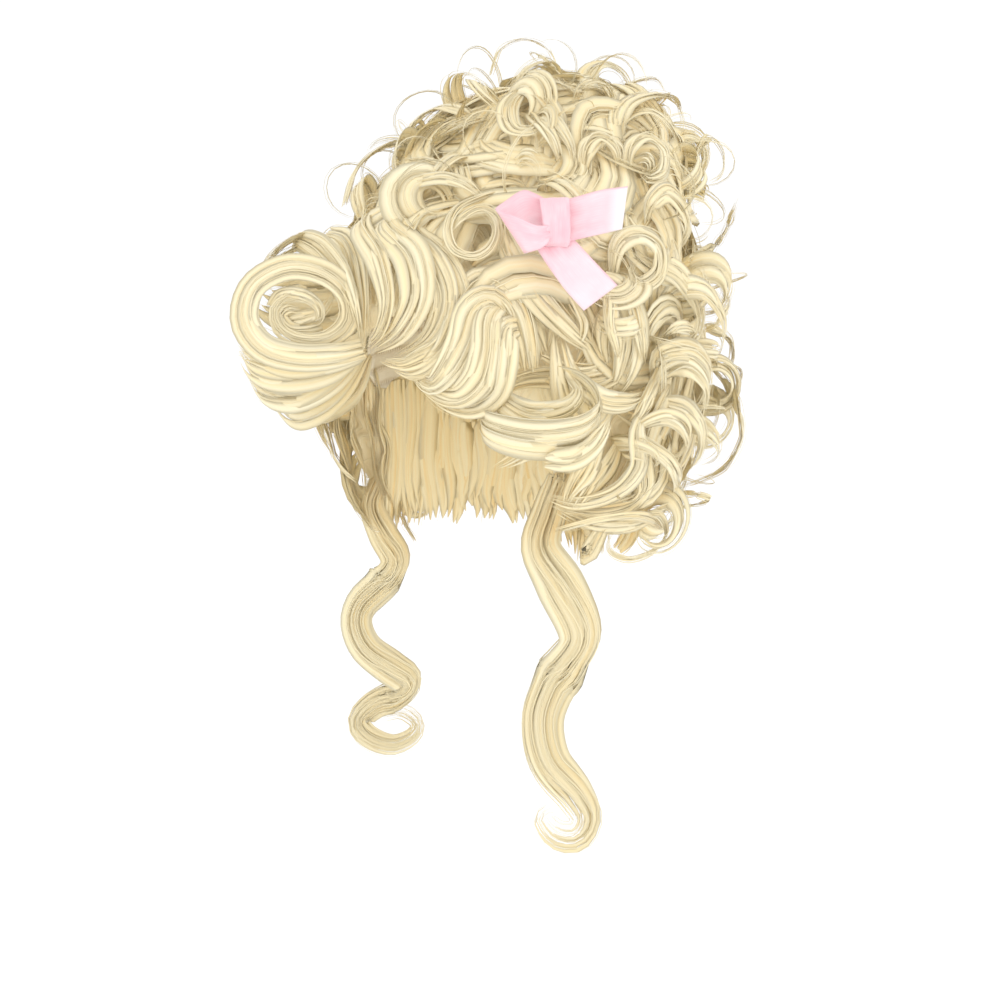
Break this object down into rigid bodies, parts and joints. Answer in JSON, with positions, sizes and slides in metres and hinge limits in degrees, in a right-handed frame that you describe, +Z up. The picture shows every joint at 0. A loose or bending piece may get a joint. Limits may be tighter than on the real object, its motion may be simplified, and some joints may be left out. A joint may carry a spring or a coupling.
{
  "type": "powdered wig",
  "caption": "Tall court wig of massed pale blonde curls on a cloth cap, with rolled front waves, a long ringlet at each temple and a pink satin bow.",
  "frame": {"origin": "inner crown of the cap, where it rests on the top of the wearer's head", "axes": "+Z up, the wearer faces -Y and the wearer's left is +X"},
  "size_m": [0.3005, 0.3634, 0.5483],
  "materials": {
    "hair": "pale blonde fibre with a soft sheen",
    "massed_hair": "pale blonde fibre, matt in its depth",
    "cap_cloth": "matt woven net and bands",
    "satin": "satin",
    "pin": "plain wire"
  },
  "bodies": {
    "root": {"bow_knot": "satin", "bow_loop": "satin", "bow_pin": "pin", "bow_tail_lower": "satin", "bow_tail_upper": "satin", "curl_brow_1": "hair", "curl_crown_1": "hair", "curl_ear_1": "hair", "curl_ear_2": "hair", "curl_ear_3": "hair", "curl_ear_4": "hair", "curl_ear_5": "hair", "curl_ear_6": "hair", "curl_ear_7": "hair", "curl_middle_1": "hair", "curl_middle_2": "hair", "curl_middle_3": "hair", "curl_middle_4": "hair", "curl_middle_5": "hair", "curl_middle_6": "hair", "curl_middle_7": "hair", "curl_middle_8": "hair", "curl_nape_1": "hair", "curl_nape_2": "hair", "curl_nape_3": "hair", "curl_nape_4": "hair", "curl_nape_5": "hair", "curl_neck_1": "hair", "curl_neck_2": "hair", "curl_neck_3": "hair", "curl_neck_4": "hair", "curl_neck_5": "hair", "curl_neck_6": "hair", "curl_neck_7": "hair", "curl_tower_1": "hair", "curl_tower_2": "hair", "curl_tower_3": "hair", "curl_tower_4": "hair", "curl_tower_5": "hair", "curl_tower_6": "hair", "curl_upper_1": "hair", "curl_upper_2": "hair", "curl_upper_3": "hair", "curl_upper_4": "hair", "curl_upper_5": "hair", "curl_upper_6": "hair", "curl_upper_7": "hair", "curl_upper_8": "hair", "hair_base": "massed_hair", "lock_forehead_left": "hair", "ringlet_left": "hair", "ringlet_right": "hair", "roll_front_right": "hair", "roll_temple_left": "hair", "roll_temple_right": "hair", "wave_front": "hair", "wig_cap": "cap_cloth"}
  },
  "joints": []
}
